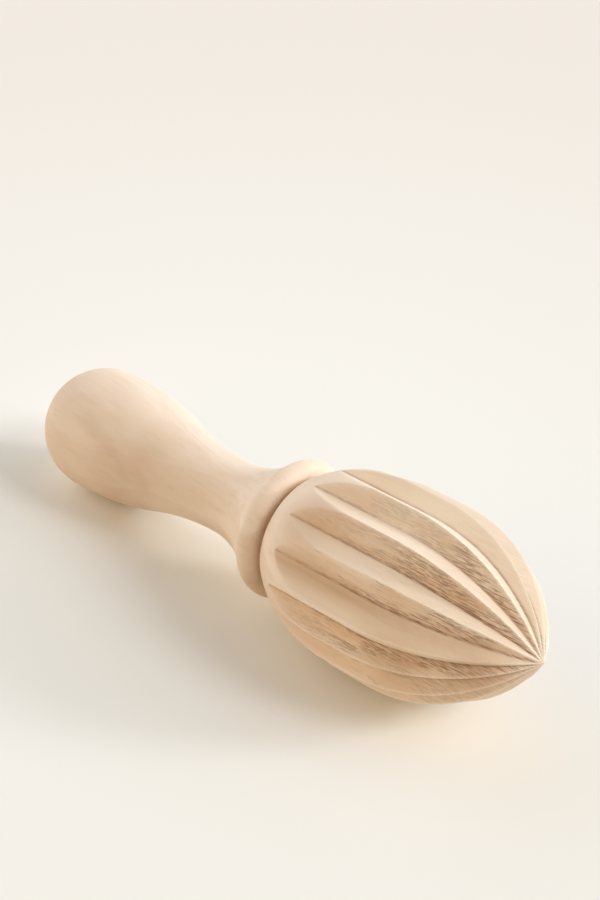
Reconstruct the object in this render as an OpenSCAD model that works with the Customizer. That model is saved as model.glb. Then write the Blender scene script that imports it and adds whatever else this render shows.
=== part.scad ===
// Wooden citrus reamer, lying at rest: a turned handle with a rolled collar,
// glued by its spigot into a fluted egg-shaped head. The origin is on the
// surface it lies on, under the middle of its length, and the tip points to +X.

/* [Overall] */
// Length from the end of the handle to the tip
overall_length = 165; // [158:1:172]
// Length of the head from its flat back to the tip
head_length = 75; // [72:1:78]

/* [Head] */
// Diameter over the sharp ridges
head_diameter = 48.5; // [46:0.5:50]
// Number of flutes round the head
flute_count = 15; // [14:1:17]
// Angle between the two walls of a flute
flute_angle = 114; // [110:1:118]
// Distance from the tip at which the flutes start to curve in
nose_length = 40; // [39:0.5:41]
// Distance from the tip to the widest place of the turned blank
widest_from_tip = 44.2; // [44:0.1:46]
// How far the blank stands over the ridges before it is fluted
land_rise = 0.3; // [0.25:0.05:0.4]
// Radius of the blank's outline at its widest place
belly_arc = 80; // [76:1:84]
// Radius of the blank's outline towards its back
shoulder_arc = 36.5; // [35:0.5:38]
// Angle by which the outline has turned where the shoulder begins
shoulder_turn = 10.7; // [10:0.1:11.5]
// Radius of the rounded edge round the flat back
back_edge_radius = 0.8; // [0.5:0.1:1.2]
// Distance of the flutes' floors from the axis at the blunted tip
tip_radius = 0.4; // [0.3:0.05:0.6]

/* [Handle] */
// Diameter of the round end
bulb_diameter = 32; // [30:0.5:34]
// Length over which the bulb keeps its full diameter
bulb_straight = 3; // [2:0.5:4]
// Diameter of the neck at its thinnest place
neck_diameter = 19.4; // [18.5:0.1:20.5]
// Distance from the joint back to the thinnest place
neck_from_joint = 26; // [25:0.5:27]
// Diameter over the rolled collar
collar_diameter = 36; // [35:0.5:37]
// Radius of the roll round the collar
roll_radius = 3; // [2.7:0.1:3.2]
// Distance from the joint back to the middle of the roll
roll_from_joint = 4.7; // [4.5:0.1:5]
// Diameter at the bottom of the undercut between collar and head
undercut_diameter = 24; // [22:0.5:26]

/* [Joint] */
// Diameter of the spigot
spigot_diameter = 14; // [13:0.5:16]
// Length of the spigot
spigot_length = 24; // [20:1:28]
// Gap all round the spigot in its socket
spigot_gap = 0.08; // [0.05:0.01:0.1]
// Room for glue past the end of the spigot
glue_room = 1; // [0.5:0.1:1.5]
// Size of the bevels on the spigot's end and the socket's mouth
joint_bevel = 0.8; // [0.5:0.1:1]

/* [Hidden] */
$fn = 96;
wood_handle = [0.90, 0.78, 0.63];
wood_head = [0.88, 0.74, 0.58];

// distances along the axis are counted from the end of the handle
joint_at = overall_length - head_length;
crest_radius = head_diameter / 2;
half_pitch = 180 / flute_count;
half_angle = flute_angle / 2;

// two neighbouring flutes meet in a sharp ridge at the crest radius
floor_radius = crest_radius * sin(half_angle - half_pitch) / sin(half_angle);

// the flutes' floors run straight, then on an arc that ends beside the blunted tip
nose_at = overall_length - nose_length;
floor_run = nose_length - tip_radius;
floor_drop = floor_radius - tip_radius;
floor_arc = (floor_run * floor_run + floor_drop * floor_drop) / (2 * floor_drop);
floor_centre = floor_radius - floor_arc;
floor_turn = asin(floor_run / floor_arc);
nose_steps = 18;

// the outline of the turned blank is two arcs, shoulder and belly
blank_radius = crest_radius + land_rise;
widest_at = overall_length - widest_from_tip;
belly_centre = blank_radius - belly_arc;
shoulder_at = widest_at - belly_arc * sin(shoulder_turn);
shoulder_centre = [
    belly_centre + (belly_arc - shoulder_arc) * cos(shoulder_turn),
    widest_at - (belly_arc - shoulder_arc) * sin(shoulder_turn)
];

// the rounded edge touches the flat back and the shoulder arc
edge_drop = shoulder_centre[1] - joint_at - back_edge_radius;
edge_reach = sqrt(pow(shoulder_arc - back_edge_radius, 2) - edge_drop * edge_drop);
edge_centre = [shoulder_centre[0] + edge_reach, joint_at + back_edge_radius];
edge_end = shoulder_centre
    + (edge_centre - shoulder_centre) * shoulder_arc / (shoulder_arc - back_edge_radius);

// the handle's two long arcs are equal and meet halfway down its taper
bulb_radius = bulb_diameter / 2;
neck_radius = neck_diameter / 2;
bulb_end = bulb_radius + bulb_straight;
neck_at = joint_at - neck_from_joint;
taper_turn = 2 * atan((bulb_radius - neck_radius) / (neck_at - bulb_end));
taper_arc = (neck_at - bulb_end) / (2 * sin(taper_turn));
taper_middle = (bulb_end + neck_at) / 2;

// the flare runs smoothly into the roll of the collar
roll_centre = [collar_diameter / 2 - roll_radius, joint_at - roll_from_joint];
flare_run = roll_centre[1] - neck_at;
flare_rise = roll_centre[0] - neck_radius;
flare_arc = (flare_run * flare_run + flare_rise * flare_rise - roll_radius * roll_radius)
    / (2 * (roll_radius + flare_rise));
flare_centre = [neck_radius + flare_arc, neck_at];
flare_end = roll_centre
    + (flare_centre - roll_centre) * roll_radius / (flare_arc + roll_radius);

// the undercut's wall leaves the roll as a tangent and ends on the joint
undercut_foot = [undercut_diameter / 2, joint_at];
foot_to_roll = roll_centre - undercut_foot;
foot_distance = norm(foot_to_roll);
wall_turn = asin(roll_radius / foot_distance);
wall_length = foot_distance * cos(wall_turn);
wall_heading = atan2(foot_to_roll[1], foot_to_roll[0]) - wall_turn;
wall_top = undercut_foot + wall_length * [cos(wall_heading), sin(wall_heading)];

// at rest the bulb and the corners of two ridges touch the surface
corner_at = widest_at - sqrt(belly_arc * belly_arc - pow(belly_arc - land_rise, 2));
ridge_depth = crest_radius * cos(half_pitch);
corner_run = corner_at - bulb_radius;
rest_tilt = atan2(ridge_depth, corner_run) - asin(bulb_radius / norm([ridge_depth, corner_run]));
rest_lift = bulb_radius * (1 - sin(rest_tilt));
low_end = bulb_radius * (cos(rest_tilt) - 1);
high_end = overall_length * cos(rest_tilt);

// lays the axis down with the first flute at the bottom
module at_rest() {
    translate([-(low_end + high_end) / 2, 0, rest_lift])
        rotate([0, 90 - rest_tilt, 0])
            children();
}

// a stretch of outline under an arc that bulges away from the axis
module bulging(from, to, centre, radius) {
    intersection() {
        translate(centre)
            circle(radius);
        translate([0, from])
            square([overall_length, to - from]);
    }
}

// a stretch of outline under an arc that is hollowed towards the axis
module hollowed(from, to, centre, radius) {
    difference() {
        translate([0, from])
            square([centre[0], to - from]);
        translate(centre)
            circle(radius);
    }
}

// points on an arc, with angles counted from the outward direction towards the tip
function arc_points(centre, radius, from, to, steps) = [
    for (i = [0 : steps])
        let (turn = from + (to - from) * i / steps)
            centre + radius * [cos(turn), sin(turn)]
];

module blank() {
    edge_turn = atan2(edge_centre[1] - shoulder_centre[1], edge_centre[0] - shoulder_centre[0]);
    rotate_extrude()
        polygon(concat(
            [[0, joint_at]],
            arc_points(edge_centre, back_edge_radius, -90, edge_turn, 6),
            arc_points(shoulder_centre, shoulder_arc, edge_turn, -shoulder_turn, 12),
            arc_points([belly_centre, widest_at], belly_arc, -shoulder_turn, 0, 6),
            [[blank_radius, overall_length + 1], [0, overall_length + 1]]
        ));
}

// the V-shaped flutes meet in ridges, so a cut across them is a star: each ring
// holds the ends of the flutes' floors and, half a pitch round, of the ridges
function star_ring(turn, along) = [
    for (i = [0 : 2 * flute_count - 1])
        let (
            floor_at = floor_centre + floor_arc * cos(turn),
            half_width = floor_at * tan(half_pitch)
                / (1 - tan(half_pitch) * cos(turn) / tan(half_angle)),
            rise = i % 2 == 0 ? 0 : half_width / tan(half_angle),
            outward = floor_centre + (floor_arc + rise) * cos(turn),
            distance = i % 2 == 0 ? outward : outward / cos(half_pitch)
        )
        [
            distance * cos(i * half_pitch),
            distance * sin(i * half_pitch),
            along + (floor_arc + rise) * sin(turn)
        ]
];

module star() {
    around = 2 * flute_count;
    rings = concat(
        [star_ring(0, joint_at - 1)],
        [for (j = [0 : nose_steps]) star_ring(floor_turn * j / nose_steps, nose_at)]
    );
    tip = len(rings) * around;
    polyhedron(
        points = concat([for (ring = rings) each ring], [[0, 0, overall_length]]),
        faces = concat(
            [[for (i = [0 : around - 1]) i]],
            [
                for (j = [0 : len(rings) - 2])
                    for (i = [0 : around - 1])
                        let (n = (i + 1) % around)
                        [
                            j * around + i,
                            (j + 1) * around + i,
                            (j + 1) * around + n,
                            j * around + n
                        ]
            ],
            [for (i = [0 : around - 1]) [tip - around + i, tip, tip - around + (i + 1) % around]]
        )
    );
}

module socket() {
    radius = spigot_diameter / 2 + spigot_gap;
    translate([0, 0, joint_at])
        cylinder(r = radius, h = spigot_length + glue_room);
    translate([0, 0, joint_at])
        cylinder(r1 = radius + joint_bevel, r2 = radius, h = joint_bevel);
}

module handle_outline() {
    spigot_radius = spigot_diameter / 2;
    spigot_end = joint_at + spigot_length;
    bulging(0, bulb_radius, [0, bulb_radius], bulb_radius);
    translate([0, bulb_radius])
        square([bulb_radius, bulb_straight]);
    bulging(bulb_end, taper_middle, [bulb_radius - taper_arc, bulb_end], taper_arc);
    hollowed(taper_middle, neck_at, [neck_radius + taper_arc, neck_at], taper_arc);
    hollowed(neck_at, flare_end[1], flare_centre, flare_arc);
    translate(roll_centre)
        circle(roll_radius);
    polygon([
        [0, flare_end[1]],
        flare_end,
        roll_centre,
        wall_top,
        undercut_foot,
        [spigot_radius, joint_at],
        [spigot_radius, spigot_end - joint_bevel],
        [spigot_radius - joint_bevel, spigot_end],
        [0, spigot_end]
    ]);
}

module head() {
    color(wood_head)
        at_rest()
            difference() {
                intersection() {
                    blank();
                    star();
                }
                socket();
            }
}

module handle() {
    color(wood_handle)
        at_rest()
            rotate_extrude()
                handle_outline();
}

head();
handle();
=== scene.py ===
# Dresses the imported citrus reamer: a fluted beech head on a turned beech handle,
# lying on a pale table. Lengths in the dictionaries are millimetres, angles degrees.
import math

import bmesh
import bpy
from mathutils import Euler, Matrix, Quaternion, Vector


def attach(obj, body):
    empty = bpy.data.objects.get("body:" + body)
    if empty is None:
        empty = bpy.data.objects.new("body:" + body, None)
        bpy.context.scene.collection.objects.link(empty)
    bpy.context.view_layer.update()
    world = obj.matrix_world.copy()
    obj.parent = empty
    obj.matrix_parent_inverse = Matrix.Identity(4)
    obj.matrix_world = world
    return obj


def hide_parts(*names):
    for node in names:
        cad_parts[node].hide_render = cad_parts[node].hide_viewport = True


mm = 0.001
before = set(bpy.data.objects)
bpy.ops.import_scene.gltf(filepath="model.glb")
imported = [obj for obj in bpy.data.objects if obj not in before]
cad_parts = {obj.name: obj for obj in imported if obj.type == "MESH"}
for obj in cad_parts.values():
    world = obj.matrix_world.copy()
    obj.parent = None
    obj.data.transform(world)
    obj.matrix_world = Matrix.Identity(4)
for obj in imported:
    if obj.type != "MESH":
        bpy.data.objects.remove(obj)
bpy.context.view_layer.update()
print("frame loaded:", sorted(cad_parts))


def srgb(red, green, blue):
    # a screen colour, 0 to 255, as the linear colour that a socket takes
    def linear(level):
        level /= 255
        return level / 12.92 if level <= 0.04045 else ((level + 0.055) / 1.055) ** 2.4

    return (linear(red), linear(green), linear(blue), 1.0)


class Wire:
    # one socket of a node tree, so that a sum of wires reads as a sum
    def __init__(self, tree, socket=None):
        self.tree = tree
        self.socket = socket

    def node(self, kind, settings=None, values=None, output=0):
        made = self.tree.nodes.new(kind)
        for name, value in (settings or {}).items():
            setattr(made, name, value)
        for name, value in (values or {}).items():
            sockets = [s for s in made.inputs if s.enabled and name in (s.name, s.identifier)]
            target = made.inputs[name] if isinstance(name, int) else sockets[0]
            if isinstance(value, Wire):
                self.tree.links.new(value.socket, target)
            else:
                target.default_value = value
        shown = [s for s in made.outputs if s.enabled]
        found = [s for s in shown if s.name == output] if isinstance(output, str) else shown[output:output + 1]
        return Wire(self.tree, found[0] if found else None)

    def math(self, operation, *others):
        return self.node("ShaderNodeMath", {"operation": operation}, dict(enumerate((self, *others))))

    def __add__(self, other):
        return self.math("ADD", other)

    def __sub__(self, other):
        return self.math("SUBTRACT", other)

    def __mul__(self, other):
        return self.math("MULTIPLY", other)

    def __truediv__(self, other):
        return self.math("DIVIDE", other)

    def __neg__(self):
        return self.math("MULTIPLY", -1.0)

    def __rsub__(self, other):
        return self.node("ShaderNodeMath", {"operation": "SUBTRACT"}, {0: other, 1: self})

    def __rtruediv__(self, other):
        return self.node("ShaderNodeMath", {"operation": "DIVIDE"}, {0: other, 1: self})

    __radd__ = __add__
    __rmul__ = __mul__

    def atMost(self, other):
        return self.math("MINIMUM", other)

    def atLeast(self, other):
        return self.math("MAXIMUM", other)

    def ramp(self, low, high):
        # 0 below low, 1 above high, eased between
        values = {"Value": self, "From Min": low, "From Max": high}
        return self.node("ShaderNodeMapRange", {"interpolation_type": "SMOOTHSTEP"}, values)

    def bell(self, width):
        # 1 where the wire is 0, falling away over the width
        return (-(self * self) / (width * width)).math("EXPONENT")


def arcPoints(centre, radius, start, end, steps):
    # angles count from the outward direction towards the tip, as in the part's source
    turns = [math.radians(start + (end - start) * i / steps) for i in range(steps + 1)]
    return [(centre[0] + radius * math.cos(t), centre[1] + radius * math.sin(t)) for t in turns]


def turnedMesh(name, outline, columns):
    # a ring of points for each point of the outline, which is (radius, distance along) pairs
    mesh = bpy.data.meshes.new(name)
    points = [
        (r * math.cos(2 * math.pi * c / columns), r * math.sin(2 * math.pi * c / columns), along)
        for r, along in outline
        for c in range(columns)
    ]
    faces = [
        (row * columns + c, row * columns + (c + 1) % columns,
         (row + 1) * columns + (c + 1) % columns, (row + 1) * columns + c)
        for row in range(len(outline) - 1)
        for c in range(columns)
    ]
    mesh.from_pydata(points, [], faces)
    return mesh


# how the turned axis lies: the bulb and two ridges touch the table, so it rises to the tip
lie = {"overallLength": 165, "headLength": 75, "bulbRadius": 16, "ridgeRadius": 24.25,
       "cornerAlong": 113.878, "halfPitch": 12}
ridgeDepth = lie["ridgeRadius"] * math.cos(math.radians(lie["halfPitch"]))
cornerRun = lie["cornerAlong"] - lie["bulbRadius"]
tilt = math.atan2(ridgeDepth, cornerRun) - math.asin(lie["bulbRadius"] / math.hypot(ridgeDepth, cornerRun))
lowEnd = lie["bulbRadius"] * (math.cos(tilt) - 1)
highEnd = lie["overallLength"] * math.cos(tilt)
axisTurn = (0, math.pi / 2 - tilt, 0)
axisStart = (-(lowEnd + highEnd) / 2 * mm, 0, lie["bulbRadius"] * (1 - math.sin(tilt)) * mm)
jointAt = lie["overallLength"] - lie["headLength"]


def onAxis(along, turn, radius):
    # where a place on the turned shape lies: turn 0 is the bottom
    spot = Vector((math.cos(math.radians(turn)), math.sin(math.radians(turn)), 0)) * radius * mm
    spot.z = along * mm
    return tuple(Euler(axisTurn).to_matrix() @ spot + Vector(axisStart))


# ---- the fluted head

headShape = {
    "flutes": 15, "fluteAngle": 114, "floorRadius": 20.446, "noseAlong": 125, "tipBlunt": 0.4,
    "blankRadius": 24.55, "ridgeRadius": 24.25, "widestAlong": 120.8, "bellyArc": 80,
    "shoulderArc": 36.5, "shoulderTurn": 10.7, "backEdge": 0.8,
    "socketRadius": 7.08, "socketDepth": 25, "socketBevel": 0.8,
    "rowStep": 0.4,  # spacing of the rings of points along the flutes
    # how far floors and ridges stand off an even spacing; floor 0 is at the bottom, ridge 0 after it
    "floorErrors": {7: -2.0, 9: 1.7, 10: 2.4, 11: 4.6, 12: 2.0, 13: -2.0},
    "ridgeErrors": {7: 0.7, 9: 0.5, 10: 7.6, 11: 3.2, 12: 0.3, 13: -4.0},
    "ridgeSoftness": 0.08, "softRidges": {9: 0.2, 10: 0.6}, "nickDepth": 0.12, "seed": 7,
    "softFloors": {10: 0.7},  # floors that the cutter left rounded
    "landEdge": 0.45,  # how wide the edges of the land are eased
    "noseFullness": 0.7, "fullTurn": 160,  # the nose is a little fuller on one side
}
# where the columns stand between a flute's floor and its edge, and then on the land beside it
fluteShares = [0, 0.06, 0.14, 0.30, 0.46, 0.62, 0.76, 0.87, 0.94, 0.98, 1]
landShares = [0.08, 0.25, 0.6]


def floorArcOf(shape):
    run = lie["overallLength"] - shape["noseAlong"] - shape["tipBlunt"]
    drop = shape["floorRadius"] - shape["tipBlunt"]
    return (run * run + drop * drop) / (2 * drop)


def blankOutline(shape):
    # the socket's bottom first, then its mouth, the flat back, the shoulder, the belly and the tip
    bellyCentre = shape["blankRadius"] - shape["bellyArc"]
    turn = math.radians(shape["shoulderTurn"])
    reach = shape["bellyArc"] - shape["shoulderArc"]
    shoulder = (bellyCentre + reach * math.cos(turn), shape["widestAlong"] - reach * math.sin(turn))
    inner = shape["shoulderArc"] - shape["backEdge"]
    edgeDrop = shoulder[1] - jointAt - shape["backEdge"]
    edge = (shoulder[0] + math.sqrt(inner**2 - edgeDrop**2), jointAt + shape["backEdge"])
    edgeTurn = math.degrees(math.atan2(edge[1] - shoulder[1], edge[0] - shoulder[0]))
    socket, mouth = shape["socketRadius"], shape["socketRadius"] + shape["socketBevel"]
    rows = [(0, jointAt + shape["socketDepth"]), (socket, jointAt + shape["socketDepth"]),
            (socket, jointAt + shape["socketBevel"]), (mouth, jointAt), (0.6 * edge[0], jointAt)]
    rows += arcPoints(edge, shape["backEdge"], -90, edgeTurn, 6)
    shoulderEnd = shape["widestAlong"] - shape["bellyArc"] * math.sin(turn)
    along = rows[-1][1] + shape["rowStep"]
    while along < shape["noseAlong"]:
        if along < shoulderEnd:
            radius = shoulder[0] + math.sqrt(shape["shoulderArc"] ** 2 - (along - shoulder[1]) ** 2)
        else:
            past = min(along, shape["widestAlong"]) - shape["widestAlong"]
            radius = min(bellyCentre + math.sqrt(shape["bellyArc"] ** 2 - past**2), shape["ridgeRadius"])
        rows.append((radius, along))
        along += shape["rowStep"]
    # past here the second number counts along the floors' arc, and the last ring is the tip
    arc = floorArcOf(shape)
    noseRun = lie["overallLength"] - shape["noseAlong"]
    arcEnd = arc * math.asin((noseRun - shape["tipBlunt"]) / arc)
    steps = round(arcEnd / shape["rowStep"])
    rows += [(shape["ridgeRadius"], shape["noseAlong"] + arcEnd * i / steps) for i in range(steps + 1)]
    rows.append((0, shape["noseAlong"] + arc * math.asin(noseRun / arc)))
    return rows


def fluteTree(shape, material):
    tree = bpy.data.node_groups.new("cutFlutes", "GeometryNodeTree")
    tree.interface.new_socket("Geometry", in_out="OUTPUT", socket_type="NodeSocketGeometry")
    tree.interface.new_socket("Geometry", in_out="INPUT", socket_type="NodeSocketGeometry")
    sizes = {
        "Flutes": shape["flutes"],
        "Flute Angle": math.radians(shape["fluteAngle"]),
        "Floor Radius": shape["floorRadius"] * mm,
        "Nose Along": shape["noseAlong"] * mm,
        "Floor Arc": floorArcOf(shape) * mm,
        "Ridge Softness": shape["ridgeSoftness"] * mm,
        "Land Edge": shape["landEdge"] * mm,
        "Nose Fullness": shape["noseFullness"] * mm,
        "Full Turn": math.radians(shape["fullTurn"]),
        "Nick Depth": shape["nickDepth"] * mm,
        "Seed": shape["seed"],
        "Turn": axisTurn,
        "Place": axisStart,
        "Material": material,
    }
    kinds = {"Turn": "NodeSocketRotation", "Place": "NodeSocketVector", "Material": "NodeSocketMaterial"}
    for name in sizes:
        tree.interface.new_socket(name, in_out="INPUT", socket_type=kinds.get(name, "NodeSocketFloat"))
    start = Wire(tree)
    entry = tree.nodes.new("NodeGroupInput")
    given = {s.name: Wire(tree, s) for s in entry.outputs if s.name}

    def stored(name):
        return start.node("GeometryNodeInputNamedAttribute", {"data_type": "FLOAT"}, {"Name": name})

    def joined(x, y, z):
        return start.node("ShaderNodeCombineXYZ", None, {"X": x, "Y": y, "Z": z})

    sweep, blank, floorTurn, ridgeTurn = (
        stored(name) for name in ("sweep", "blankRadius", "floorTurn", "ridgeTurn"))
    share, landShare, ridge = stored("share"), stored("landShare"), stored("ridge")
    wearAndShade, hollow = stored("wearAndShade"), stored("hollow")

    # the cutter's point runs straight, then round the nose
    halfTan = (math.pi / given["Flutes"]).math("TANGENT")
    slope = (given["Flute Angle"] / 2).math("TANGENT")
    bend = (sweep - given["Nose Along"]).atLeast(0.0) / given["Floor Arc"]
    bendCos, bendSin = bend.math("COSINE"), bend.math("SINE")
    floorAt = given["Floor Radius"] - given["Floor Arc"] * (1 - bendCos)
    floorAlong = sweep.atMost(given["Nose Along"]) + given["Floor Arc"] * bendSin

    # an evenly spaced neighbour meets the flute in a ridge of this height
    rise = floorAt * halfTan / (1 - halfTan * bendCos / slope) / slope
    ridgeAt = (floorAt + rise * bendCos) * (halfTan * halfTan + 1).math("SQRT")
    ridgeAlong = floorAlong + rise * bendSin

    # the wall is straight from floor to ridge, up to the edge where the turned surface is left
    gap = ridgeTurn - floorTurn
    wallOut = ridgeAt * gap.math("COSINE") - floorAt
    wallSide = ridgeAt * gap.math("SINE")
    square = wallOut * wallOut + wallSide * wallSide
    lead = floorAt * wallOut
    spare = (lead * lead - square * (floorAt * floorAt - blank * blank)).atLeast(0.0).math("SQRT")
    edge = ((spare - lead) / square).atLeast(0.0).atMost(1.0)
    reached = edge * share
    outward, sideways = floorAt + wallOut * reached, wallSide * reached
    along = floorAlong + (ridgeAlong - floorAlong) * reached

    # the ridge is rounded, most on two worn ridges, with nicks where fibres broke out
    spot = joined(sweep, ridge * 0.37, given["Seed"] * 0.11)

    def noiseOf(scale, detail):
        return start.node("ShaderNodeTexNoise", None, {"Vector": spot, "Scale": scale, "Detail": detail})

    softness = given["Ridge Softness"] * (0.4 + 1.2 * noiseOf(160.0, 2.0)) + wearAndShade * (sweep - 138 * mm).bell(22 * mm)
    wallLength = square.math("SQRT")
    fromRidge = (1 - reached) * wallLength
    rounding = (fromRidge * fromRidge + softness * softness).math("SQRT") - fromRidge
    nicks = noiseOf(900.0, 3.0).ramp(0.56, 0.72) * given["Nick Depth"] * fromRidge.bell(0.3 * mm)
    fromFloor = reached * wallLength
    filling = ((fromFloor * fromFloor + hollow * hollow).math("SQRT") - fromFloor) * 0.55
    drop = (rounding + nicks - filling) * (floorAt / (3 * mm)).atMost(1.0)
    radius = ((outward * outward + sideways * sideways).math("SQRT") - drop * bendCos).atMost(blank)
    along = along - drop * bendSin
    wallTurn = sideways.math("ARCTAN2", outward)
    landTurn = (gap - wallTurn) * landShare
    azimuth = floorTurn + wallTurn + landTurn

    # where land is left, its edge is eased on both sides
    fromEdge = (edge - reached) * wallLength + blank * landTurn.math("ABSOLUTE")
    easing = (fromEdge * fromEdge + given["Land Edge"] * given["Land Edge"]).math("SQRT") - fromEdge
    radius = radius - easing * 0.34 * (edge * wallLength / (1.2 * mm)).atMost(1.0) * (1 - edge.ramp(0.92, 1.0))
    fuller = sweep.ramp(124 * mm, 150 * mm) * (floorAt / (6 * mm)).atMost(1.0)
    fuller = fuller * (0.5 + 0.5 * (azimuth - given["Full Turn"]).math("COSINE"))
    radius = radius + given["Nose Fullness"] * fuller
    place = joined(radius * azimuth.math("COSINE"), radius * azimuth.math("SINE"), along)

    shaped = start.node("GeometryNodeSetPosition", None, {"Geometry": given["Geometry"], "Position": place})
    # what the wood needs to know of each point: how deep it is cut, and how far it is from the
    # flute's floor, counted as less than nothing on the wall before it
    across = reached * wallLength * gap.math("SIGN")
    for name, value in (("depth", (blank - radius).atLeast(0.0)), ("crest", fromRidge.bell(0.4 * mm)), ("across", across)):
        shaped = start.node("GeometryNodeStoreNamedAttribute", {"data_type": "FLOAT", "domain": "POINT"},
                            {"Geometry": shaped, "Name": name, "Value": value})
    merged = start.node("GeometryNodeMergeByDistance", None, {"Geometry": shaped, "Distance": 2e-7})
    laid = start.node("GeometryNodeTransform", None, {
        "Geometry": merged, "Translation": given["Place"], "Rotation": given["Turn"]})
    real = start.node("GeometryNodeRealizeInstances", None, {"Geometry": laid})
    dressed = start.node("GeometryNodeSetMaterial", None, {"Geometry": real, "Material": given["Material"]})
    leave = tree.nodes.new("NodeGroupOutput")
    tree.links.new(dressed.socket, leave.inputs[0])
    return tree, sizes


def plainMesh(piece, sharpAngle):
    # the evaluated shape becomes the object's own mesh, and its modifiers go
    shown = piece.evaluated_get(bpy.context.evaluated_depsgraph_get())
    mesh = bpy.data.meshes.new_from_object(shown)
    piece.modifiers.clear()
    piece.data = mesh
    mesh.polygons.foreach_set("use_smooth", [True] * len(mesh.polygons))
    mesh.set_sharp_from_angle(angle=math.radians(sharpAngle))
    return piece


def makeHead(shape, material):
    flutes = shape["flutes"]
    pitch = 2 * math.pi / flutes

    def floorOf(flute):
        return flute * pitch + math.radians(shape["floorErrors"].get(flute % flutes, 0))

    def ridgeOf(flute):
        # the ridge after this flute
        return (flute + 0.5) * pitch + math.radians(shape["ridgeErrors"].get(flute % flutes, 0))

    # one column after another: share of the wall, share of the land, and the turns on either side
    columns = []
    for flute in range(flutes):
        steps = [(share, 0.0) for share in fluteShares] + [(1.0, share) for share in landShares]
        before = [(wall, land, flute - 1) for wall, land in reversed(steps[1:])]
        after = [(wall, land, flute) for wall, land in steps]
        for wall, land, ridge in [(1.0, 1.0, flute - 1)] + before + after:
            columns.append({"share": wall, "landShare": land, "ridge": float(ridge % flutes),
                            "wearAndShade": shape["softRidges"].get(ridge % flutes, 0) * mm,
                            "hollow": shape["softFloors"].get(flute % flutes, 0) * mm,
                            "floorTurn": floorOf(flute), "ridgeTurn": ridgeOf(ridge)})
    outline = blankOutline(shape)
    mesh = turnedMesh("fluted_head", [(r * mm, along * mm) for r, along in outline], len(columns))
    values = {name: [column[name] for column in columns] * len(outline) for name in columns[0]}
    values["sweep"] = [along * mm for r, along in outline for column in columns]
    values["blankRadius"] = [r * mm for r, along in outline for column in columns]
    for name, numbers in values.items():
        mesh.attributes.new(name, "FLOAT", "POINT").data.foreach_set("value", numbers)
    piece = bpy.data.objects.new("fluted_head", mesh)
    bpy.context.scene.collection.objects.link(piece)
    tree, sizes = fluteTree(shape, material)
    cutting = piece.modifiers.new("flutes", "NODES")
    cutting.node_group = tree
    for item in tree.interface.items_tree:
        if item.in_out == "INPUT" and item.name in sizes:
            cutting[item.identifier] = sizes[item.name]
    return plainMesh(piece, 24)


# ---- the turned handle

handleShape = {
    "bulbRadius": 16, "bulbStraight": 3, "neckRadius": 9.7, "neckFromJoint": 26,
    "collarRadius": 18, "rollRadius": 3, "rollFromJoint": 4.7, "undercutRadius": 12,
    "undercutFillet": 0.7, "spigotRadius": 7, "spigotLength": 24, "spigotBevel": 0.8,
    "columns": 144,
}


def handleOutline(shape):
    bulb, neck, roll = shape["bulbRadius"], shape["neckRadius"], shape["rollRadius"]
    bulbEnd, neckAt = bulb + shape["bulbStraight"], jointAt - shape["neckFromJoint"]
    turn = 2 * math.atan((bulb - neck) / (neckAt - bulbEnd))
    taper = (neckAt - bulbEnd) / (2 * math.sin(turn))
    turn = math.degrees(turn)
    rollCentre = (shape["collarRadius"] - roll, jointAt - shape["rollFromJoint"])
    run, rise = rollCentre[1] - neckAt, rollCentre[0] - neck
    flare = (run * run + rise * rise - roll * roll) / (2 * (roll + rise))
    flareTurn = math.degrees(math.atan2(run, rollCentre[0] - neck - flare))
    undercut, fillet, spigot = shape["undercutRadius"], shape["undercutFillet"], shape["spigotRadius"]
    # the small fillet touches the roll and the undercut's floor
    filletDrop = math.sqrt((roll + fillet) ** 2 - (rollCentre[0] - undercut - fillet) ** 2)
    filletCentre = (undercut + fillet, rollCentre[1] + filletDrop)
    filletTurn = math.degrees(math.atan2(filletDrop, filletCentre[0] - rollCentre[0]))
    spigotEnd = jointAt + shape["spigotLength"]
    return (
        arcPoints((0, bulb), bulb, -90, 0, 26)
        + arcPoints((bulb - taper, bulbEnd), taper, 0, turn, 26)
        + arcPoints((neck + taper, neckAt), taper, 180 + turn, 180, 26)[1:]
        + arcPoints((neck + flare, neckAt), flare, 180, flareTurn, 22)[1:]
        + arcPoints(rollCentre, roll, flareTurn - 180, filletTurn, 30)[1:]
        + arcPoints(filletCentre, fillet, filletTurn - 180, -180, 6)[1:]
        + [(undercut, jointAt), (spigot, jointAt), (spigot, spigotEnd - shape["spigotBevel"]),
           (spigot - shape["spigotBevel"], spigotEnd), (0, spigotEnd)]
    )


def makeHandle(shape, material):
    outline = [(r * mm, along * mm) for r, along in handleOutline(shape)]
    mesh = turnedMesh("turned_handle", outline, shape["columns"])
    mesh.transform(Euler(axisTurn).to_matrix().to_4x4())
    mesh.transform(Matrix.Translation(axisStart))
    work = bmesh.new()
    work.from_mesh(mesh)
    bmesh.ops.remove_doubles(work, verts=work.verts, dist=1e-6)
    bmesh.ops.recalc_face_normals(work, faces=work.faces)
    work.to_mesh(mesh)
    work.free()
    mesh.materials.append(material)
    piece = bpy.data.objects.new("turned_handle", mesh)
    bpy.context.scene.collection.objects.link(piece)
    return plainMesh(piece, 38)


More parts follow.
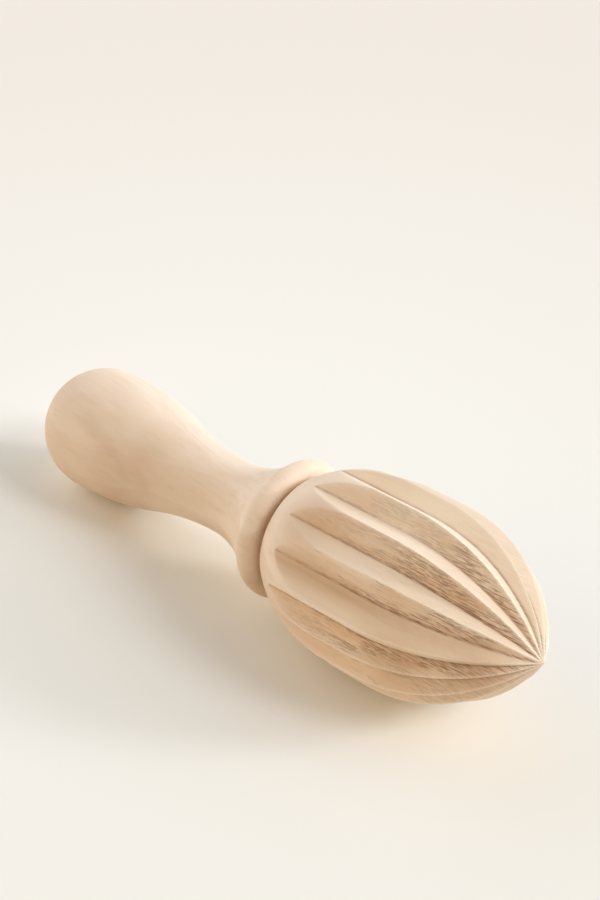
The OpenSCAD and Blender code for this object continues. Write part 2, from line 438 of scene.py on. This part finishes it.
# bare beech: a broad faint figure and fine streaks. On the flutes the walls that face the way the
# wood's rays run are full of short dark lines, the ends of those rays, and the others are clean
headBeech = {
    "pale": srgb(247, 228, 208), "tan": srgb(234, 209, 183), "brown": srgb(206, 165, 124),
    "rayWall": srgb(232, 204, 171), "cleanWall": srgb(244, 221, 190), "line": srgb(124, 66, 30),
    # edge is pale: it makes pale flecks, and paints the highlight on the crests and the paler places; ruddy paints
    # shade in the valley and in darker places
    "spot": srgb(222, 172, 130), "ruddy": srgb(196, 151, 109), "edge": srgb(255, 240, 218),
    "pith": (0.0, 0.012, -0.085), "ringSpacing": 5.5 * mm, "ringWarp": 2.2 * mm, "ringShare": 0.10,
    # broad places of painted light and shade, the paler ones painted light and the darker ones painted shade: where,
    # how far they reach, and how strong they are
    "places": [
        {"along": 94, "turn": 203, "radius": 19, "reach": 9, "share": 0.45, "colour": "edge"},
        {"along": 104, "turn": 220, "radius": 22.5, "reach": 8, "share": 0.30, "colour": "brown"},
        {"along": 127, "turn": 184, "radius": 23, "reach": 13, "share": 0.50, "colour": "edge"},
        {"along": 138, "turn": 276, "radius": 19, "reach": 8, "share": 0.35, "colour": "ruddy"},
        {"along": 154, "turn": 278, "radius": 10, "reach": 7, "share": 0.50, "colour": "ruddy"},
        {"along": 108, "turn": 280, "radius": 23, "reach": 16, "share": 0.14, "colour": "ruddy"},
    ],
    "slope": 1.5, "sheetTurn": 228, "rayTurn": 250, "wallLean": 33, "lineShare": 0.60, "patchShare": 0.22, "relief": 0.12 * mm, "roughness": 0.66,
}
handleBeech = {
    "pale": srgb(249, 229, 208), "tan": srgb(237, 212, 187), "brown": srgb(206, 166, 130),
    "line": srgb(176, 132, 92), "edge": srgb(255, 238, 216),
    "pith": (0.0, -0.004, -0.052), "ringSpacing": 8 * mm, "ringWarp": 5 * mm, "ringShare": 0.12,
    # broad places of painted light and shade, as on the head: paler ones painted light, darker ones painted shade
    "places": [
        {"along": 42, "turn": 232, "radius": 13, "reach": 7, "share": 0.45, "colour": "brown"},
        {"along": 33, "turn": 243, "radius": 15, "reach": 6, "share": 0.30, "colour": "brown"},
        {"along": 36, "turn": 290, "radius": 14, "reach": 9, "share": 0.35, "colour": "brown"},
        {"along": 36, "turn": 196, "radius": 15, "reach": 9, "share": 0.55, "colour": "edge"},
        {"along": 22, "turn": 236, "radius": 16, "reach": 8, "share": 0.25, "colour": "edge"},
    ],
    # undercut is a painted shade colour, for the collar's side towards the head and the handle's lower side
    "undercut": srgb(200, 162, 106), "slope": 5.0, "sheetTurn": 220, "lineShare": 0.10, "patchShare": 0.45, "relief": 0.02 * mm, "roughness": 0.58,
}


def beech(name, look, fluted):
    material = bpy.data.materials.new(name)
    material.use_nodes = True
    tree = material.node_tree
    tree.nodes.clear()
    start = Wire(tree)
    where = start.node("ShaderNodeTexCoord", output="Object")
    # X runs along the grain, which slopes a little against the turned axis, and Z the way the rays run
    grain = start.node("ShaderNodeMapping", None, {
        "Vector": where, "Rotation": (0, tilt, math.radians(look["slope"]))})
    rayGrain = start.node("ShaderNodeMapping", None, {
        "Vector": grain, "Rotation": (math.radians(180 - look["sheetTurn"]), 0, 0)})

    def vectorMath(operation, first, second, output=0):
        return start.node("ShaderNodeVectorMath", {"operation": operation}, {0: first, 1: second}, output)

    def noise(along, across, detail=2.0, roughness=0.5, on=grain, through=None):
        # clouds, or streaks along the grain, of so many waves in a metre each way
        return start.node("ShaderNodeTexNoise", None, {
            "Vector": vectorMath("MULTIPLY", on, (along, across, through or across)),
            "Scale": 1.0, "Detail": detail, "Roughness": roughness})

    def mixed(share, first, second):
        return start.node("ShaderNodeMix", {"data_type": "RGBA"}, {"Factor": share, "A": first, "B": second})

    def stored(attribute):
        return start.node("ShaderNodeAttribute", {"attribute_name": attribute}, None, "Fac")

    mottle, patches = noise(26, 80, 3.0), noise(34, 110, 2.0)
    streak, fineStreak = noise(45, 900, 3.0, 0.6), noise(200, 3600, 2.0)

    # each year's ring darkens slowly and ends at once
    fromPith = vectorMath("LENGTH", vectorMath("MULTIPLY", vectorMath("SUBTRACT", grain, look["pith"]), (0, 1, 1)),
                          (0, 0, 0), "Value")
    ring = ((fromPith + (noise(14, 45) - 0.5) * look["ringWarp"] * 2) / look["ringSpacing"]).math("FRACT")
    lateWood = ring * (1 - ring.ramp(0.93, 1.0))

    colour = mixed(mottle.ramp(0.38, 0.68) * 0.7, look["pale"], look["tan"])
    colour = mixed(lateWood * look["ringShare"], colour, look["brown"])
    colour = mixed(patches.ramp(0.55, 0.8) * look["patchShare"], colour, look["brown"])
    colour = mixed(streak.ramp(0.5, 0.78) * 0.22, colour, look["brown"])
    relief = fineStreak * 0.5 + streak * 0.5
    rough = look["roughness"] + (streak - 0.5) * 0.12

    if fluted:
        depth, across, crest = stored("depth"), stored("across"), stored("crest")
        sweep, floorTurn = stored("sweep"), stored("floorTurn")
        # a place on the walls: along the flute, across it, and a step from each flute to the next
        wall = start.node("ShaderNodeCombineXYZ", None, {"X": sweep, "Y": across, "Z": floorTurn * 0.03})
        cut, deep = depth.ramp(0.02 * mm, 0.3 * mm), depth.ramp(0.0, 1.6 * mm)
        # each wall leans away from its flute's floor, and rays end on it as it faces their way
        facing = floorTurn + math.radians(look["wallLean"]) * (1 - 2 * across.ramp(-0.5 * mm, 0.5 * mm))
        rays = (facing - math.radians(look["rayTurn"])).math("COSINE").math("ABSOLUTE").ramp(0.74, 0.93)
        # the cutter crosses more fibres towards the tip, and tears them there, least on the last flutes
        tipwards = sweep.ramp(98 * mm, 140 * mm)
        smooth = floorTurn.ramp(math.radians(272), math.radians(296)) * 0.7
        smooth = smooth.atLeast((1 - floorTurn.ramp(math.radians(90), math.radians(160))) * 0.45)
        torn = cut * (0.08 + 0.92 * tipwards) * (0.10 + 0.90 * rays) * (1 - smooth)
        colour = mixed(deep * (0.45 + 0.3 * streak) * (1 - rays), colour, look["cleanWall"])
        colour = mixed(deep * (0.5 + 0.4 * streak) * rays, colour, look["rayWall"])
        colour = mixed(torn * noise(50, 260, 3.0, 0.6, on=wall).ramp(0.40, 0.66) * 0.50, colour, look["spot"])
        # a ray is a thin sheet: short along the grain, very thin across it, and deep the way it runs
        clusters = (noise(60, 240, 3.0, 0.6, on=wall) + across.bell(1.6 * mm) * 0.10 + tipwards * 0.05).ramp(0.46, 0.60)
        short = noise(400, 4600, 0.0, on=rayGrain, through=200).ramp(0.525, 0.585)
        long = noise(150, 3300, 0.0, on=rayGrain, through=120).ramp(0.60, 0.65)
        lines = (short * clusters).atLeast(long * (0.25 + 0.75 * clusters)) * torn
        colour = mixed(lines * look["lineShare"], colour, look["line"])
        light = noise(560, 3600, 1.0, on=rayGrain, through=300).ramp(0.55, 0.66) * clusters
        colour = mixed(torn * light * 0.42, colour, look["edge"])
        speckle = noise(1500, 2600, 2.0)
        colour = mixed(torn * speckle.ramp(0.5, 0.7) * 0.14, colour, look["edge"])
        # painted shade: the wall after the rounded floor is darkened towards ruddy brown, where that soft valley lies
        # in shade
        valleyShade = stored("hollow") / (0.7 * mm) * (across - 1.2 * mm).bell(2.6 * mm) * (sweep - 116 * mm).bell(30 * mm)
        colour = mixed(valleyShade * (0.38 + 0.4 * streak) * cut, colour, look["ruddy"])
        # painted shade: each flute's floor is darkened along its crease, more where the ray lines cross it
        floorShade = (across + 0.15 * mm).bell(0.38 * mm) * cut * (0.12 + 0.40 * (short.atLeast(clusters * 0.6)))
        colour = mixed(floorShade, colour, look["line"])
        # painted highlight: the ridges' crests are lightened towards the pale edge colour
        colour = mixed(crest * (0.5 + 0.5 * speckle.ramp(0.35, 0.6)) * 0.85, colour, look["edge"])
        relief = relief - lines * 0.9 + speckle * torn * 0.6
    else:
        lines = noise(260, 4200, 1.0).ramp(0.64, 0.72) * noise(60, 190, 2.0).ramp(0.5, 0.7)
        colour = mixed(lines * look["lineShare"], colour, look["line"])
        # painted shade: the collar's side towards the head is darkened, most of all below, and the handle a little
        # towards its bottom; the mask below is this shade, not wear
        axis = (math.cos(tilt), 0, math.sin(tilt))
        along = vectorMath("DOT_PRODUCT", vectorMath("SUBTRACT", where, axisStart), axis, "Value")
        below = 1 - start.node("ShaderNodeSeparateXYZ", None, {0: where}, "Z").ramp(4 * mm, 30 * mm)
        wearAndShade = along.ramp((jointAt - 7) * mm, (jointAt - 2) * mm) * (0.02 + 0.62 * below)
        colour = mixed(wearAndShade.atLeast(below * 0.25), colour, look["undercut"])

    # the broad places: painted light where they are paler, painted shade where they are darker
    for place in look["places"]:
        away = vectorMath("DISTANCE", where, onAxis(place["along"], place["turn"], place["radius"]), "Value")
        colour = mixed(away.bell(place["reach"] * mm) * place["share"], colour, look[place["colour"]])

    bump = start.node("ShaderNodeBump", None, {"Strength": 0.7, "Distance": look["relief"], "Height": relief})
    shader = start.node("ShaderNodeBsdfPrincipled", None, {
        "Base Color": colour, "Roughness": rough, "Normal": bump, "Specular IOR Level": 0.35})
    start.node("ShaderNodeOutputMaterial", None, {"Surface": shader})
    return material


# ---- table, light and camera

# the middle colour and the two rim colours paint a falloff of light across the table
table = {"reach": 3.0, "colour": srgb(248, 247, 241), "roughness": 0.7,
         "nearColour": srgb(241, 229, 221), "farColour": srgb(243, 237, 230)}
# each lobe of the sky stands for a window or a lit wall; a higher focus makes it narrower
sky = {
    "backdrop": srgb(244, 241, 233),
    "lobes": {
        "window": {"azimuth": 45, "elevation": 32, "focus": 10, "strength": 2.1, "colour": (0.985, 1.0, 1.03)},
        "windowLow": {"azimuth": 45, "elevation": 8, "focus": 24, "strength": 1.23, "colour": (0.985, 1.0, 1.03)},
        "ceiling": {"azimuth": 70, "elevation": 62, "focus": 10, "strength": 0.26, "colour": (0.97, 1.0, 1.0)},
        "backWall": {"azimuth": 90, "elevation": 8, "focus": 24, "strength": 2.54, "colour": (0.93, 1.0, 1.04)},
        "corner": {"azimuth": 135, "elevation": 8, "focus": 24, "strength": 1.4, "colour": (0.93, 1.0, 1.04)},
        "cornerHigh": {"azimuth": 135, "elevation": 32, "focus": 10, "strength": 0.71, "colour": (0.93, 1.0, 1.04)},
        "leftWall": {"azimuth": 180, "elevation": 8, "focus": 24, "strength": 1.52, "colour": (0.92, 1.0, 1.15)},
        "leftHigh": {"azimuth": 180, "elevation": 32, "focus": 10, "strength": 1.38, "colour": (0.92, 1.0, 1.15)},
        "room": {"azimuth": 225, "elevation": 32, "focus": 10, "strength": 0.91, "colour": (1.22, 1.0, 0.71)},
        "roomFront": {"azimuth": 270, "elevation": 32, "focus": 10, "strength": 1.38, "colour": (1.22, 1.0, 0.71)},
    },
}
# two broad soft lamps, a long way off; their width is the angle that they fill
lamps = {
    "key": {"azimuth": 18, "elevation": 40, "width": 19, "strength": 0.8, "colour": (0.985, 1.0, 1.03)},
    "low": {"azimuth": 43, "elevation": 23, "width": 12, "strength": 0.95, "colour": (0.985, 1.0, 1.03)},
}
camera = {"target": (-40.8, 46.48, 0), "azimuth": 44.297, "elevation": 35.298, "distance": 648.61,
          "roll": 1.434, "lens": 96}


def makeTable(values):
    material = bpy.data.materials.new("table")
    material.use_nodes = True
    tree = material.node_tree
    tree.nodes.clear()
    start = Wire(tree)
    where = start.node("ShaderNodeTexCoord", output="Object")
    # painted shade: the table is palest in the middle and darkens and warms further out, most on the near side
    away = start.node("ShaderNodeVectorMath", {"operation": "LENGTH"}, {0: where}, output="Value")
    past = start.node("ShaderNodeVectorMath", {"operation": "DOT_PRODUCT"}, {0: where, 1: (-1, 1, 0)}, "Value")
    rim = start.node("ShaderNodeMix", {"data_type": "RGBA"}, {
        "Factor": past.ramp(-0.1, 0.3), "A": values["nearColour"], "B": values["farColour"]})
    colour = start.node("ShaderNodeMix", {"data_type": "RGBA"}, {
        "Factor": away.ramp(0.06, 0.34), "A": values["colour"], "B": rim})
    shader = start.node("ShaderNodeBsdfPrincipled", None, {
        "Base Color": colour, "Roughness": values["roughness"],
        "Specular IOR Level": 0.0})
    start.node("ShaderNodeOutputMaterial", None, {"Surface": shader})
    reach = values["reach"]
    mesh = bpy.data.meshes.new("table")
    corners = [(-reach, -reach, 0), (reach, -reach, 0), (reach, reach, 0), (-reach, reach, 0)]
    mesh.from_pydata(corners, [], [(0, 1, 2, 3)])
    mesh.materials.append(material)
    piece = bpy.data.objects.new("table", mesh)
    bpy.context.scene.collection.objects.link(piece)


def fromAngles(azimuth, elevation):
    a, e = math.radians(azimuth), math.radians(elevation)
    return Vector((math.cos(a) * math.cos(e), math.sin(a) * math.cos(e), math.sin(e)))


def makeLamps(values):
    for name, lamp in values.items():
        light = bpy.data.lights.new(name, "SUN")
        light.angle = math.radians(lamp["width"])
        light.energy = lamp["strength"]
        light.color = lamp["colour"]
        piece = bpy.data.objects.new(name, light)
        towards = fromAngles(lamp["azimuth"], lamp["elevation"])
        piece.location = towards
        piece.rotation_mode = "QUATERNION"
        piece.rotation_quaternion = (-towards).to_track_quat("-Z", "Y")
        bpy.context.scene.collection.objects.link(piece)


def makeSky(values):
    world = bpy.data.worlds.new("sky")
    world.use_nodes = True
    world.node_tree.nodes.clear()
    start = Wire(world.node_tree)
    where = start.node("ShaderNodeTexCoord", output="Generated")

    def vectorMath(operation, values, output=0):
        return start.node("ShaderNodeVectorMath", {"operation": operation}, values, output)

    light = (0.0, 0.0, 0.0)
    for lobe in values["lobes"].values():
        towards = tuple(fromAngles(lobe["azimuth"], lobe["elevation"]))
        facing = vectorMath("DOT_PRODUCT", {0: where, 1: towards}, "Value").atLeast(0.0)
        level = facing.math("POWER", lobe["focus"]) * lobe["strength"]
        light = vectorMath("ADD", {0: vectorMath("SCALE", {0: lobe["colour"], "Scale": level}), 1: light})
    glow = start.node("ShaderNodeBackground", None, {"Color": light, "Strength": 1.0})
    # what is looked at, or mirrored, is a plain pale backdrop
    backdrop = start.node("ShaderNodeBackground", None, {"Color": values["backdrop"], "Strength": 1.0})
    looks = [start.node("ShaderNodeLightPath", output=kind)
             for kind in ("Is Camera Ray", "Is Glossy Ray", "Is Transmission Ray")]
    seen = looks[0].atLeast(looks[1]).atLeast(looks[2])
    shown = start.node("ShaderNodeMixShader", None, {0: seen, 1: glow, 2: backdrop})
    start.node("ShaderNodeOutputWorld", None, {"Surface": shown})
    bpy.context.scene.world = world


def makeCamera(values):
    lens = bpy.data.cameras.new("camera")
    lens.lens = values["lens"]
    lens.clip_start, lens.clip_end = 0.01, 20
    piece = bpy.data.objects.new("camera", lens)
    back = fromAngles(values["azimuth"] - 90, values["elevation"])
    piece.location = Vector(values["target"]) * mm + back * values["distance"] * mm
    roll = Quaternion((0, 0, 1), math.radians(values["roll"]))
    piece.rotation_mode = "QUATERNION"
    piece.rotation_quaternion = (-back).to_track_quat("-Z", "Y") @ roll
    bpy.context.scene.collection.objects.link(piece)
    bpy.context.scene.camera = piece


headPiece = makeHead(headShape, beech("head beech", headBeech, True))
print("head made:", len(headPiece.data.polygons), "faces")
handlePiece = makeHandle(handleShape, beech("handle beech", handleBeech, False))
print("handle made:", len(handlePiece.data.polygons), "faces")
makeTable(table)
makeLamps(lamps)
makeSky(sky)
makeCamera(camera)
bpy.context.scene.view_settings.view_transform = "Standard"
print("table, light and camera placed")

for piece, node, slotName in ((headPiece, "head", "head_wood"), (handlePiece, "handle", "handle_wood")):
    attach(piece, "root")
    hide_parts(node)
